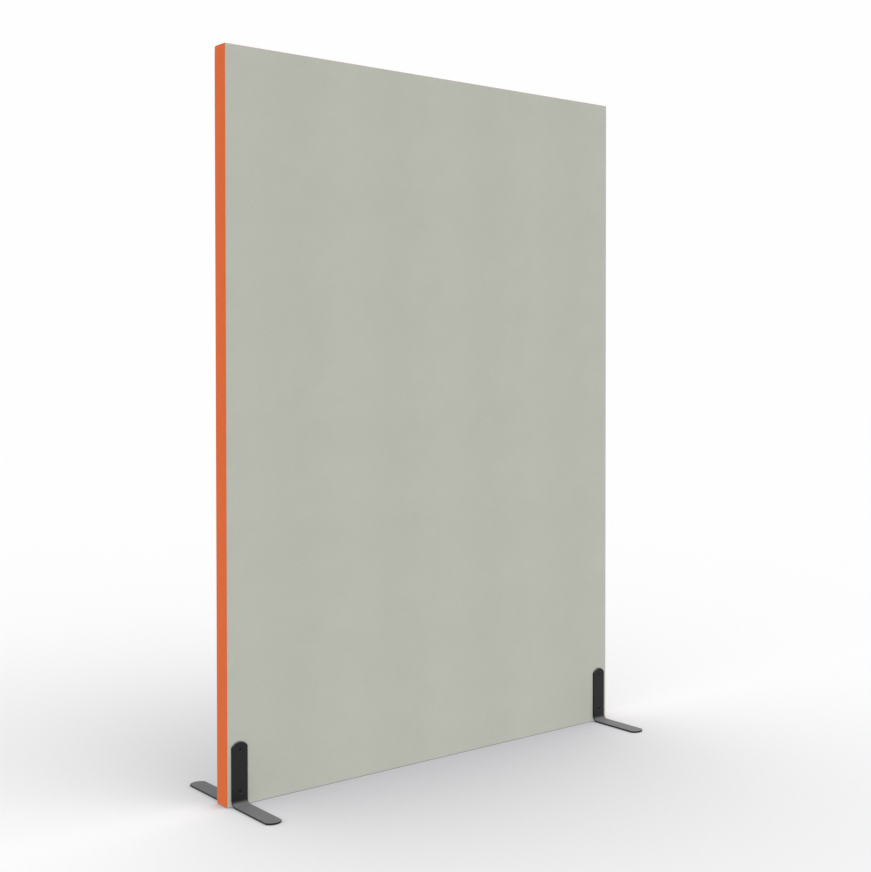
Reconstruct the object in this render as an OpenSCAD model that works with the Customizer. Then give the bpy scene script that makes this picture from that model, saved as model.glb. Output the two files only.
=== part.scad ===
// Free-standing upholstered acoustic divider screen on four bent flat-bar feet.
// X runs along the width, the front face looks towards -Y, Z is up from the floor.
// The origin is on the floor, in the middle of the width and of the depth.

/* [Screen] */
// Width of the upholstered panel, over the edge band
screen_w = 1200; // [700:50:1800]
// Height of the screen above the floor
screen_h = 1700; // [1000:50:2100]
// Gap between the floor and the fabric under the panel
floor_gap = 1.2; // [0.8:0.1:3]
// Radius of the panel's outer edges and corners
edge_r = 3; // [2:0.5:4]
// Distance of the seam between face and edge band from the panel's edge
seam_inset = 2; // [1.2:0.2:2.8]

/* [Fabric and padding] */
// Thickness of the cover fabric
fabric_t = 1; // [0.6:0.1:1.5]
// Thickness of the padding on the faces
padding_t = 3; // [2:0.5:8]
// Thickness of the padding round the edge
edge_padding_t = 2; // [1:0.5:5]
// How far each cover is turned under the panel
turn_under_w = 16; // [14:1:18]
// Distance of the closing strip's long sides from the faces of the panel
closing_margin = 6; // [4:0.5:10]
// Thickness of the closing strip
closing_t = 0.6; // [0.3:0.1:0.7]
// Distance of the closing strip's ends from the ends of the panel
closing_inset = 8; // [4:1:30]

/* [Timber frame] */
// Thickness of the frame and of the sound-absorbing core
frame_t = 38; // [36:1:60]
// Width of the two upright stiles, which the feet are centred on
stile_w = 54; // [50:1:90]
// Width of the top rail
top_rail_w = 45; // [35:1:90]
// Width of the middle rail
mid_rail_w = 45; // [35:1:90]
// Height of the middle rail's centre line above the floor
mid_rail_z = 860; // [400:10:1200]
// Width of the bottom rail
bottom_rail_w = 56; // [50:1:90]
// Diameter of the frame's dowels
dowel_d = 10; // [6:1:10]
// Length of the frame's dowels
dowel_len = 50; // [30:2:60]
// Gap between the absorber slabs and the frame
core_gap = 0.5; // [0.2:0.1:3]

/* [Feet] */
// Width of the flat bar that the feet are bent from
foot_w = 40; // [30:1:56]
// Thickness of the flat bar
foot_t = 4; // [3.6:0.2:8]
// Height of the upright leg above the floor
foot_h = 145; // [141:1:300]
// Reach of the foot out from the face of the panel
foot_reach = 157; // [120:1:300]
// Inner radius of the bend
bend_r = 12; // [6:1:15]
// Height of the curve across the end of the leg
leg_end_rise = 11; // [6:0.5:14]
// Height of the curve across the tip of the foot
toe_rise = 11; // [6:0.5:14]
// Radius of the corners beside those curves
end_corner_r = 5; // [3:0.5:7]

/* [Glide pads] */
// Thickness of the glide pad under each foot
glide_t = 0.8; // [0.5:0.1:3]
// Distance of the pad from the sides of the foot
glide_inset = 4; // [2:0.5:8]
// Distance of the pad from the tip of the foot
glide_toe_inset = 14; // [12:1:40]
// Corner radius of the pad
glide_corner_r = 5; // [2:0.5:8]

/* [Screws and inserts] */
// Height of the lower screw above the floor
low_screw_z = 34; // [28:1:36]
// Distance between the two screws of a foot
screw_pitch = 94; // [60:1:97]
// Diameter of the screw's shank
screw_d = 6; // [5:0.5:7]
// Length of the screw inside its insert
screw_grip = 11; // [7:0.5:13]
// Diameter of the countersunk head
screw_head_d = 12; // [10:0.5:13]
// Width across the flats of the hexagon socket
socket_af = 4; // [3:0.5:5]
// Depth of the hexagon socket
socket_depth = 2.2; // [1:0.1:2.6]
// Outer diameter of the threaded insert
insert_d = 10; // [9:0.5:12]
// Length of the threaded insert, flange included
insert_len = 13; // [11:0.5:13]
// Diameter of the insert's flange
insert_flange_d = 14; // [13:0.5:17]
// Thickness of the insert's flange
insert_flange_t = 1; // [0.6:0.1:2]

/* [Staples] */
// Number of staples along each turned-under edge
staple_count = 13; // [4:1:20]
// Width of a staple over its legs
staple_w = 10; // [6:1:12]
// Length of a staple's legs in the timber
staple_leg = 8; // [5:1:12]
// Thickness of the staple wire
staple_wire = 0.7; // [0.5:0.1:0.8]
// Distance of the staples from the face of the panel
staple_inset = 12; // [10:0.5:12.5]
// Distance of the outermost staples from the ends of the bottom rail
staple_end = 30; // [15:1:80]

/* [Hidden] */

$fn = 48;

// Overrun of every cut past the face it starts from
cut = 1;
// Radial clearance of a round piece pressed or screwed into its bore
fit_clear = 0.05;
// Clearance of a bore past the end of the piece that it takes
depth_clear = 0.5;
// Radial clearance of the screw in the foot, the cover and the padding
screw_clear = 0.3;
// Clearance round a staple
staple_clear = 0.05;
// Depth of the screw head below the face of the leg
head_sink = 0.1;
// Rim of the screw head before its cone starts
head_rim = 0.3;
// Length of the chamfer on the ends of dowels and screws
end_chamfer = 1;
// Pitch and depth of the thread grooves round an insert
insert_pitch = 2.2;
insert_groove = 0.6;
// Places of the two dowels of a joint, as shares of the rail's width
dowel_place_shares = [0.2, 0.8];

// Panel, cut into its layers from the fabric inwards
panel_t = frame_t + 2 * padding_t + 2 * fabric_t;
panel_bottom = floor_gap;
panel_h = screen_h - floor_gap;
face_y = panel_t / 2;
padded_t = panel_t - 2 * fabric_t;
padded_w = screen_w - 2 * fabric_t;
padded_bottom = panel_bottom + fabric_t;
padded_h = panel_h - 2 * fabric_t;
padded_r = min(edge_r - fabric_t, padding_t, edge_padding_t);
seam_x = screen_w / 2 - seam_inset;
seam_z = screen_h - seam_inset;

// Timber frame
frame_w = padded_w - 2 * edge_padding_t;
frame_bottom = padded_bottom;
frame_top = screen_h - fabric_t - edge_padding_t;
frame_h = frame_top - frame_bottom;
stile_x = frame_w / 2 - stile_w / 2;
rail_len = frame_w - 2 * stile_w;
top_rail_z = frame_top - top_rail_w;
mid_rail_low_z = mid_rail_z - mid_rail_w / 2;
bottom_rail_top = frame_bottom + bottom_rail_w;

// Feet
foot_x = stile_x;
bend_outer_r = bend_r + foot_t;
plate_z = glide_t;
toe_y = face_y + foot_reach;
screw_heights = [low_screw_z, low_screw_z + screw_pitch];
head_cone = screw_head_d / 2 - screw_d / 2;
screw_len = foot_t - head_sink + fabric_t + padding_t + screw_grip;
insert_grooves = floor((insert_len - insert_flange_t - insert_pitch) / insert_pitch);
glide_len = foot_reach - bend_outer_r - glide_toe_inset;
glide_w = foot_w - 2 * glide_inset;

// Staples
staple_span = rail_len - 2 * staple_end;
staple_step = staple_span / (staple_count - 1);

// Shared shapes

// Box with its low corner at p and the size s
module block(p, s) {
    translate(p) cube(s);
}

// Rectangle centred on X, standing on Y = 0, with rounded corners
module round_rect(w, h, r) {
    union() {
        translate([-w / 2 + r, 0]) square([w - 2 * r, h]);
        translate([-w / 2, r]) square([w, h - 2 * r]);
        for (x = [-w / 2 + r, w / 2 - r], y = [r, h - r]) translate([x, y]) circle(r = r);
    }
}

// Slab centred on X and Y, standing at height z, with all its edges rounded
module round_slab(w, t, z, h, r) {
    translate([0, 0, z]) intersection() {
        translate([0, -t / 2, 0]) linear_extrude(h) round_rect(w, t, r);
        translate([0, t / 2, 0]) rotate([90, 0, 0]) linear_extrude(t) round_rect(w, h, r);
        translate([-w / 2, 0, 0]) rotate([90, 0, 90]) linear_extrude(w) round_rect(t, h, r);
    }
}

// Bar of width w with an end of the given rise and corner radius at height h,
// standing on Y = 0
module curved_end_bar(w, h, rise, corner) {
    end_r = (w * w / 4 + rise * rise) / (2 * rise);
    end_y = h - end_r;
    corner_x = w / 2 - corner;
    reach = sqrt(pow(end_r - corner, 2) - corner_x * corner_x);
    corner_y = end_y + reach;
    wedge = 2 * end_r / (end_r - corner);
    union() {
        translate([-w / 2, 0]) square([w, corner_y]);
        for (x = [-corner_x, corner_x]) translate([x, corner_y]) circle(r = corner);
        intersection() {
            translate([0, end_y]) circle(r = end_r);
            polygon([
                [0, end_y],
                [corner_x * wedge, end_y + reach * wedge],
                [0, end_y + end_r * wedge],
                [-corner_x * wedge, end_y + reach * wedge]
            ]);
        }
    }
}

// Cylinder along +Y from the height z and depth y
module bore_y(x, y, z, d, len) {
    translate([x, y, z]) rotate([-90, 0, 0]) cylinder(d = d, h = len);
}

// Puts a piece of the front left corner at one of the four corners
module at_corner(side, face) {
    mirror([side > 0 ? 1 : 0, 0, 0]) mirror([0, face > 0 ? 1 : 0, 0]) children();
}

// Fabric shell round the padded panel
module fabric_shell() {
    difference() {
        round_slab(screen_w, panel_t, panel_bottom, panel_h, edge_r);
        round_slab(padded_w, padded_t, padded_bottom, padded_h, padded_r);
    }
}

// Holes for the feet's screws through the soft layers of one face
module screw_holes(face) {
    for (x = [-foot_x, foot_x], z = screw_heights) {
        bore_y(x, face > 0 ? frame_t / 2 - cut : -face_y - cut, z,
            screw_d + 2 * screw_clear, face_y - frame_t / 2 + 2 * cut);
    }
}

// One staple of the front edge, driven up into the bottom rail
module staple(x, grow) {
    w = staple_w + 2 * grow;
    wire = staple_wire + 2 * grow;
    y = -face_y + staple_inset - wire / 2;
    z = panel_bottom - (grow > 0 ? cut : 0);
    leg = panel_bottom + fabric_t + staple_leg + grow - z;
    union() {
        block([x - w / 2, y, z], [w, wire, panel_bottom + staple_wire + grow - z]);
        for (leg_x = [x - w / 2, x + w / 2 - wire]) block([leg_x, y, z], [wire, wire, leg]);
    }
}

// All staples of both edges, grown by a clearance where they are cut out
module staples(grow) {
    for (face = [-1, 1], i = [0 : staple_count - 1]) {
        mirror([0, face > 0 ? 1 : 0, 0]) staple(-staple_span / 2 + i * staple_step, grow);
    }
}

// Outer ends of the edge band that belong to its top strip, cut off at a mitre
module mitre_prism() {
    low = panel_t;
    rotate([90, 0, 0]) linear_extrude(panel_t + 2 * cut, center = true) polygon([
        [-screen_w / 2 - cut, screen_h + cut],
        [screen_w / 2 + cut, screen_h + cut],
        [screen_w / 2 - low, screen_h - low],
        [-screen_w / 2 + low, screen_h - low]
    ]);
}

// Edge band of all three sides, before it is cut into strips
module edge_band() {
    difference() {
        fabric_shell();
        block([-seam_x, -face_y - cut, -cut], [2 * seam_x, panel_t + 2 * cut, seam_z + cut]);
    }
}

// Dowels of one rail, at both of its ends
module rail_dowels(low_z, rail_w) {
    for (side = [-1, 1], share = dowel_place_shares) {
        translate([side * rail_len / 2 - dowel_len / 2, 0, low_z + share * rail_w]) dowel();
    }
}

// Dowel along X with chamfered ends
module dowel() {
    rotate([0, 90, 0]) union() {
        cylinder(d1 = dowel_d - 2 * end_chamfer, d2 = dowel_d, h = end_chamfer);
        translate([0, 0, end_chamfer]) cylinder(d = dowel_d, h = dowel_len - 2 * end_chamfer);
        translate([0, 0, dowel_len - end_chamfer])
            cylinder(d1 = dowel_d, d2 = dowel_d - 2 * end_chamfer, h = end_chamfer);
    }
}

// Bores for the dowels of one rail, in the rail and in both stiles
module dowel_bores(low_z, rail_w) {
    bore_len = dowel_len + 2 * depth_clear;
    for (side = [-1, 1], share = dowel_place_shares) {
        translate([side * rail_len / 2 - bore_len / 2, 0, low_z + share * rail_w])
            rotate([0, 90, 0]) cylinder(d = dowel_d + 2 * fit_clear, h = bore_len);
    }
}

// Bores for the threaded inserts, from both faces of one stile
module insert_bores(x) {
    for (face = [0, 1], z = screw_heights) {
        mirror([0, face, 0]) {
            bore_y(x, -frame_t / 2 - cut, z, insert_d + 2 * fit_clear, insert_len + depth_clear + cut);
            bore_y(x, -frame_t / 2 - cut, z, insert_flange_d + 2 * fit_clear, insert_flange_t + cut);
        }
    }
}

// Upright stile, with its dowel and insert bores
module stile(side) {
    difference() {
        block([side * stile_x - stile_w / 2, -frame_t / 2, frame_bottom], [stile_w, frame_t, frame_h]);
        dowel_bores(top_rail_z, top_rail_w);
        dowel_bores(mid_rail_low_z, mid_rail_w);
        dowel_bores(frame_bottom, bottom_rail_w);
        insert_bores(side * foot_x);
    }
}

// Rail between the stiles, with its dowel bores
module rail(low_z, rail_w) {
    difference() {
        block([-rail_len / 2, -frame_t / 2, low_z], [rail_len, frame_t, rail_w]);
        dowel_bores(low_z, rail_w);
    }
}

// Absorber slab that fills the frame between two heights
module core(low_z, high_z) {
    block([-rail_len / 2 + core_gap, -frame_t / 2, low_z + core_gap],
        [rail_len - 2 * core_gap, frame_t, high_z - low_z - 2 * core_gap]);
}

// Padding sheet of one face
module face_padding(face) {
    sheet_y = face > 0 ? frame_t / 2 : -frame_t / 2 - padding_t - cut;
    difference() {
        intersection() {
            round_slab(padded_w, padded_t, padded_bottom, padded_h, padded_r);
            block([-screen_w / 2, sheet_y, 0], [screen_w, padding_t + cut, screen_h]);
        }
        screw_holes(face);
    }
}

// Cover of one face, with its edge turned under the panel
module face_cover(face) {
    cover_y = face > 0 ? face_y - turn_under_w : -face_y - cut;
    difference() {
        intersection() {
            fabric_shell();
            block([-seam_x, cover_y, 0], [2 * seam_x, turn_under_w + cut, seam_z]);
        }
        screw_holes(face);
        staples(staple_clear);
    }
}

// Section of a foot in its side view, the face of the panel at X = 0
module foot_section() {
    union() {
        translate([-foot_t, plate_z + bend_outer_r]) square([foot_t, foot_h - plate_z - bend_outer_r]);
        translate([-foot_reach, plate_z]) square([foot_reach - bend_outer_r, foot_t]);
        translate([-bend_outer_r, plate_z + bend_outer_r]) intersection() {
            difference() {
                circle(r = bend_outer_r);
                circle(r = bend_r);
            }
            translate([0, -bend_outer_r]) square([bend_outer_r, bend_outer_r]);
        }
    }
}

// Foot of the front left corner
module foot() {
    difference() {
        intersection() {
            translate([-foot_x - foot_w / 2, -face_y, 0]) rotate([90, 0, 90])
                linear_extrude(foot_w) foot_section();
            translate([-foot_x, -face_y + cut, 0]) rotate([90, 0, 0])
                linear_extrude(foot_reach + 2 * cut)
                curved_end_bar(foot_w, foot_h, leg_end_rise, end_corner_r);
            translate([-foot_x, 0, 0]) mirror([0, 1, 0])
                linear_extrude(foot_h + cut) curved_end_bar(foot_w, toe_y, toe_rise, end_corner_r);
        }
        for (z = screw_heights) {
            bore_y(-foot_x, -face_y - foot_t - cut, z, screw_d + 2 * screw_clear, foot_t + 2 * cut);
            translate([-foot_x, -face_y - foot_t - cut, z]) rotate([-90, 0, 0])
                cylinder(d = screw_head_d + 2 * head_sink, h = cut + head_rim + head_sink);
            translate([-foot_x, -face_y - foot_t + head_rim + head_sink, z]) rotate([-90, 0, 0])
                cylinder(d1 = screw_head_d + 2 * head_sink, d2 = screw_d + 2 * head_sink, h = head_cone);
        }
    }
}

// Glide pad of the front left corner
module glide() {
    translate([-foot_x, -face_y - bend_outer_r, 0]) mirror([0, 1, 0])
        linear_extrude(glide_t) round_rect(glide_w, glide_len, glide_corner_r);
}

// Screws of the front left foot, countersunk and flush in the leg
module foot_screws() {
    head_y = -face_y - foot_t + head_sink;
    for (z = screw_heights) translate([-foot_x, head_y, z]) rotate([-90, 0, 0]) difference() {
        union() {
            cylinder(d = screw_head_d, h = head_rim);
            translate([0, 0, head_rim]) cylinder(d1 = screw_head_d, d2 = screw_d, h = head_cone);
            translate([0, 0, head_rim + head_cone])
                cylinder(d = screw_d, h = screw_len - head_rim - head_cone - end_chamfer);
            translate([0, 0, screw_len - end_chamfer])
                cylinder(d1 = screw_d, d2 = screw_d - 2 * end_chamfer, h = end_chamfer);
        }
        translate([0, 0, -cut]) cylinder(d = socket_af / cos(30), h = socket_depth + cut, $fn = 6);
    }
}

// Threaded inserts of the front left foot, flush with the timber
module foot_inserts() {
    for (z = screw_heights) translate([-foot_x, -frame_t / 2, z]) rotate([-90, 0, 0]) difference() {
        union() {
            cylinder(d = insert_flange_d, h = insert_flange_t);
            translate([0, 0, insert_flange_t]) cylinder(d = insert_d, h = insert_len - insert_flange_t);
        }
        translate([0, 0, -cut]) cylinder(d = screw_d + 2 * fit_clear, h = insert_len + 2 * cut);
        for (i = [1 : insert_grooves]) translate([0, 0, insert_flange_t + i * insert_pitch])
            rotate_extrude() polygon([
                [insert_d / 2 - insert_groove, 0],
                [insert_d / 2 + cut, insert_groove + cut],
                [insert_d / 2 + cut, -insert_groove - cut]
            ]);
    }
}

// Timber frame

module frame_left_stile() {
    color("burlywood") stile(-1);
}

module frame_right_stile() {
    color("burlywood") stile(1);
}

module frame_top_rail() {
    color("tan") rail(top_rail_z, top_rail_w);
}

module frame_mid_rail() {
    color("tan") rail(mid_rail_low_z, mid_rail_w);
}

module frame_bottom_rail() {
    color("tan") difference() {
        rail(frame_bottom, bottom_rail_w);
        staples(staple_clear);
    }
}

module top_rail_dowels() {
    color("wheat") rail_dowels(top_rail_z, top_rail_w);
}

module mid_rail_dowels() {
    color("wheat") rail_dowels(mid_rail_low_z, mid_rail_w);
}

module bottom_rail_dowels() {
    color("wheat") rail_dowels(frame_bottom, bottom_rail_w);
}

// Sound-absorbing core and padding

module core_upper() {
    color("khaki") core(mid_rail_low_z + mid_rail_w, top_rail_z);
}

module core_lower() {
    color("khaki") core(bottom_rail_top, mid_rail_low_z);
}

module front_padding() {
    color("whitesmoke") face_padding(-1);
}

module rear_padding() {
    color("whitesmoke") face_padding(1);
}

module edge_padding() {
    color("whitesmoke") difference() {
        intersection() {
            round_slab(padded_w, padded_t, padded_bottom, padded_h, padded_r);
            block([-screen_w / 2, -frame_t / 2, 0], [screen_w, frame_t, screen_h]);
        }
        block([-frame_w / 2, -face_y, -cut], [frame_w, panel_t, frame_top + cut]);
    }
}

// Covers and edge band

module front_cover() {
    color([0.71, 0.72, 0.68]) face_cover(-1);
}

module rear_cover() {
    color([0.71, 0.72, 0.68]) face_cover(1);
}

module edge_band_left() {
    color([0.84, 0.42, 0.25]) intersection() {
        difference() {
            edge_band();
            mitre_prism();
        }
        block([-screen_w / 2 - cut, -face_y - cut, 0], [screen_w / 2, panel_t + 2 * cut, screen_h + cut]);
    }
}

module edge_band_top() {
    color([0.84, 0.42, 0.25]) intersection() {
        edge_band();
        mitre_prism();
    }
}

module edge_band_right() {
    mirror([1, 0, 0]) edge_band_left();
}

module bottom_staples() {
    color("silver") staples(0);
}

module bottom_closing_strip() {
    color([0.2, 0.2, 0.2]) block(
        [-screen_w / 2 + closing_inset, -face_y + closing_margin, panel_bottom - closing_t],
        [screen_w - 2 * closing_inset, panel_t - 2 * closing_margin, closing_t]);
}

// Feet and their fasteners

module foot_front_left() {
    color([0.15, 0.15, 0.16]) at_corner(-1, -1) foot();
}

module foot_front_right() {
    color([0.15, 0.15, 0.16]) at_corner(1, -1) foot();
}

module foot_rear_left() {
    color([0.15, 0.15, 0.16]) at_corner(-1, 1) foot();
}

module foot_rear_right() {
    color([0.15, 0.15, 0.16]) at_corner(1, 1) foot();
}

module glide_front_left() {
    color([0.1, 0.1, 0.1]) at_corner(-1, -1) glide();
}

module glide_front_right() {
    color([0.1, 0.1, 0.1]) at_corner(1, -1) glide();
}

module glide_rear_left() {
    color([0.1, 0.1, 0.1]) at_corner(-1, 1) glide();
}

module glide_rear_right() {
    color([0.1, 0.1, 0.1]) at_corner(1, 1) glide();
}

module screws_front_left() {
    color([0.2, 0.2, 0.2]) at_corner(-1, -1) foot_screws();
}

module screws_front_right() {
    color([0.2, 0.2, 0.2]) at_corner(1, -1) foot_screws();
}

module screws_rear_left() {
    color([0.2, 0.2, 0.2]) at_corner(-1, 1) foot_screws();
}

module screws_rear_right() {
    color([0.2, 0.2, 0.2]) at_corner(1, 1) foot_screws();
}

module inserts_front_left() {
    color("gold") at_corner(-1, -1) foot_inserts();
}

module inserts_front_right() {
    color("gold") at_corner(1, -1) foot_inserts();
}

module inserts_rear_left() {
    color("gold") at_corner(-1, 1) foot_inserts();
}

module inserts_rear_right() {
    color("gold") at_corner(1, 1) foot_inserts();
}

frame_left_stile();
frame_right_stile();
frame_top_rail();
frame_mid_rail();
frame_bottom_rail();
top_rail_dowels();
mid_rail_dowels();
bottom_rail_dowels();
core_upper();
core_lower();
front_padding();
rear_padding();
edge_padding();
front_cover();
rear_cover();
edge_band_left();
edge_band_top();
edge_band_right();
bottom_staples();
bottom_closing_strip();
foot_front_left();
foot_front_right();
foot_rear_left();
foot_rear_right();
glide_front_left();
glide_front_right();
glide_rear_left();
glide_rear_right();
screws_front_left();
screws_front_right();
screws_rear_left();
screws_rear_right();
inserts_front_left();
inserts_front_right();
inserts_rear_left();
inserts_rear_right();
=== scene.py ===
"""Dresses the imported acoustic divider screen: covers, edge band, padding, feet, fasteners and studio."""

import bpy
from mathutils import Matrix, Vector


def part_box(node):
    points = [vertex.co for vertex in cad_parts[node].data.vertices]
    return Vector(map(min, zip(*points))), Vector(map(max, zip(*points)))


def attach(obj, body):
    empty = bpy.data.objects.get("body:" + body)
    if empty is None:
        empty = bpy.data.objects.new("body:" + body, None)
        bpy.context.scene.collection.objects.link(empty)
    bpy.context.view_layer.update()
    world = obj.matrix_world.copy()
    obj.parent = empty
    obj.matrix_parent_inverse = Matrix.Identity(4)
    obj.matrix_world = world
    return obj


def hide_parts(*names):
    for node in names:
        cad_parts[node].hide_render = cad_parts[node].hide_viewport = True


bl_info = {
    "name": "Acoustic Divider Screen",
    "version": (1, 0, 0),
    "blender": (4, 5, 0),
    "location": "View3D > Sidebar > Divider",
    "description": "Builds the covers, edge band, feet and studio of a free-standing acoustic screen",
    "category": "Object",
}

from math import atan2, ceil, copysign, cos, exp, hypot, pi, radians, sin, sqrt

import bmesh
import bpy
from mathutils import Matrix, Vector

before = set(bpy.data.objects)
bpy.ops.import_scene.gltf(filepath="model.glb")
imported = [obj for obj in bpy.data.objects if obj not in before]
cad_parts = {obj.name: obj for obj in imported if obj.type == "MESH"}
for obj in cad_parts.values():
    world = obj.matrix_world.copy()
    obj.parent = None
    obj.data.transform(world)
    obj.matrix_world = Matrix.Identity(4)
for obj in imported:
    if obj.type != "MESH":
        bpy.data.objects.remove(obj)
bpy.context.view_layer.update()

MM = 0.001
CORNERS = (("front_left", -1, -1), ("front_right", 1, -1), ("rear_left", -1, 1), ("rear_right", 1, 1))

panel_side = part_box("edge_band_right")[1].x
panel_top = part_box("edge_band_top")[1].z
panel_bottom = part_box("front_cover")[0].z
panel_face = -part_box("front_cover")[0].y
foot_low, foot_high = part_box("foot_front_right")
foot_tip = -foot_low.y
foot_middle = (foot_low.x + foot_high.x) / 2
foot_half = (foot_high.x - foot_low.x) / 2
screw_low, screw_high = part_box("screws_front_right")
head_radius = (screw_high.x - screw_low.x) / 2
screw_heights = (screw_low.z + head_radius, screw_high.z - head_radius)
screw_length = screw_high.y - screw_low.y
hole_radius = head_radius + 0.1 * MM


# Sizes and colours that a user would change


def number(name, text, default, **more):
    """Number property."""
    return bpy.props.FloatProperty(name=name, description=text, default=default, **more)


def length(name, text, millimetres):
    """Length property, with its default in millimetres."""
    return number(name, text, millimetres * MM, min=0.0, max=1.0, unit="LENGTH", precision=4)


def angle(name, text, degrees):
    """Angle property, with its default in degrees."""
    return number(name, text, radians(degrees), subtype="ANGLE")


def colour(name, text, default):
    """Colour property of what is named."""
    name, text = f"{name} colour", f"Colour of {text}"
    return bpy.props.FloatVectorProperty(
        name=name, description=text, default=default, size=3, min=0.0, max=1.0, subtype="COLOR"
    )


class DividerUpholstery(bpy.types.PropertyGroup):
    """Covers, edge band and padding."""

    edge_radius: length("Edge radius", "Roundness of the panel's edges", 1.6)
    seam_angle: angle("Seam angle", "Where the seam lies on the rounded edge, from the face", 52.0)
    cloth: length("Cloth thickness", "Thickness of the cover fabric", 1)
    flap: length("Flap", "Width of the cloth turned under the panel", 13)
    face_fullness: length("Face fullness", "How far the padded faces stand proud of their edges", 1)
    band_fullness: length("Band fullness", "How far the edge band stands proud of its seams", 0.6)
    band_fold: length("Band fold", "How far the end bands' folds stand proud beside the seams", 0.8)
    softness: length("Softness", "How quickly the padding rises from a seam", 5)
    hug: length("Hug", "How closely the cloth closes up to the legs", 0.8)
    thread: length("Thread pitch", "Distance between the threads of the fabric", 1.1)
    face_colour: colour("Face", "the cloth on the faces", (0.467, 0.479, 0.423))
    band_colour: colour("Band", "the cloth on the edges", (0.77, 0.152, 0.04))
    wadding_colour: colour("Wadding", "the padding under the cloth", (0.82, 0.82, 0.8))
    absorber_colour: colour("Absorber", "the sound absorber", (0.62, 0.54, 0.32))
    closing_colour: colour("Closing cloth", "the strip underneath", (0.022, 0.022, 0.024))


class DividerFrame(bpy.types.PropertyGroup):
    """Timber frame and its fixings."""

    timber_colour: colour("Timber", "the softwood frame", (0.62, 0.45, 0.28))
    dowel_colour: colour("Dowel", "the hardwood dowels", (0.7, 0.55, 0.36))
    staple_colour: colour("Staple", "the zinc-plated staples", (0.6, 0.6, 0.62))
    insert_colour: colour("Insert", "the brass inserts", (0.7, 0.5, 0.2))


class DividerFeet(bpy.types.PropertyGroup):
    """Bent flat-bar feet and their screws."""

    bar: length("Bar thickness", "Thickness of the flat bar", 4)
    bend: length("Bend radius", "Inner radius of the bend", 12)
    end_rise: length("End rise", "Height of the curve across each end", 11)
    end_corner: length("End corner", "Radius of the corners beside those curves", 5)
    rounding: length("Edge rounding", "Roundness of the bar's edges", 0.3)
    sink: length("Head sink", "How far the screw heads sit below the face of the leg", 0.2)
    socket: length("Socket", "Width across the flats of the screws' sockets", 4)
    socket_mouth: length("Socket mouth", "Diameter of the cone that leads into a socket", 5)
    socket_depth: length("Socket depth", "Depth of the screws' sockets", 2.8)
    coat_colour: colour("Coat", "the powder coat", (0.0172, 0.0172, 0.0178))
    # Painted top light: a lighter colour painted on what faces up, as light falls on the tops.
    top_light_colour: colour("Top light", "the painted top light on what faces up", (0.194, 0.194, 0.198))
    screw_colour: colour("Screw", "the blackened screws", (0.014, 0.014, 0.014))
    glide_colour: colour("Glide", "the rubber glide pads", (0.015, 0.015, 0.015))


class DividerStudio(bpy.types.PropertyGroup):
    """Camera and surroundings."""

    eye: bpy.props.FloatVectorProperty(
        name="Eye",
        description="Place of the camera",
        default=(-2.09864, -2.63793, 1.00139),
        subtype="XYZ",
        unit="LENGTH",
    )
    turn: angle("Turn", "Angle of the view to the right of straight ahead", 38.677)
    dip: angle("Dip", "Angle of the view below level", 1.0075)
    roll: angle("Roll", "Clockwise tilt of the camera", 0.04)
    lens: number("Lens", "Focal length in millimetres", 55.493)
    drop: number("Drop", "Share of the picture by which it is lowered", -0.06111)
    floor: number("Floor", "Half the side of the floor", 60.0, unit="LENGTH")
    sky: number("Sky", "Strength of the even light from all sides", 0.36)
    bounce: number("Bounce", "Strength of the light off the floor", 1.18)
    shade_colour: colour("Shade", "the floor in deep shade", (0.2, 0.198, 0.226))


# Finishes


def both_ways(operation):
    """A Math node's operation as an operator and its reflected form."""
    return (
        lambda self, other: self.sum(operation, self, other),
        lambda self, other: self.sum(operation, other, self),
    )


class Reading:
    """A number, colour or vector that changes over a surface, and the sums done with it."""

    __add__, __radd__ = both_ways("ADD")
    __sub__, __rsub__ = both_ways("SUBTRACT")
    __mul__, __rmul__ = both_ways("MULTIPLY")
    __pow__, __rpow__ = both_ways("POWER")
    __gt__, __lt__ = both_ways("GREATER_THAN")

    def __init__(self, nodes, socket):
        self.nodes = nodes
        self.socket = socket

    def sum(self, operation, *values):
        """Any operation of a Math node."""
        return self.nodes.node("ShaderNodeMath", {"operation": operation}, values)

    def __abs__(self):
        return self.sum("ABSOLUTE", self)

    def wave(self):
        """Sine of the number."""
        return self.sum("SINE", self)

    def within(self, low, high):
        """Rises smoothly from 0 at low to 1 at high."""
        values = {"Value": self, "From Min": low, "From Max": high}
        return self.nodes.node("ShaderNodeMapRange", {"interpolation_type": "SMOOTHSTEP"}, values)


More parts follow.
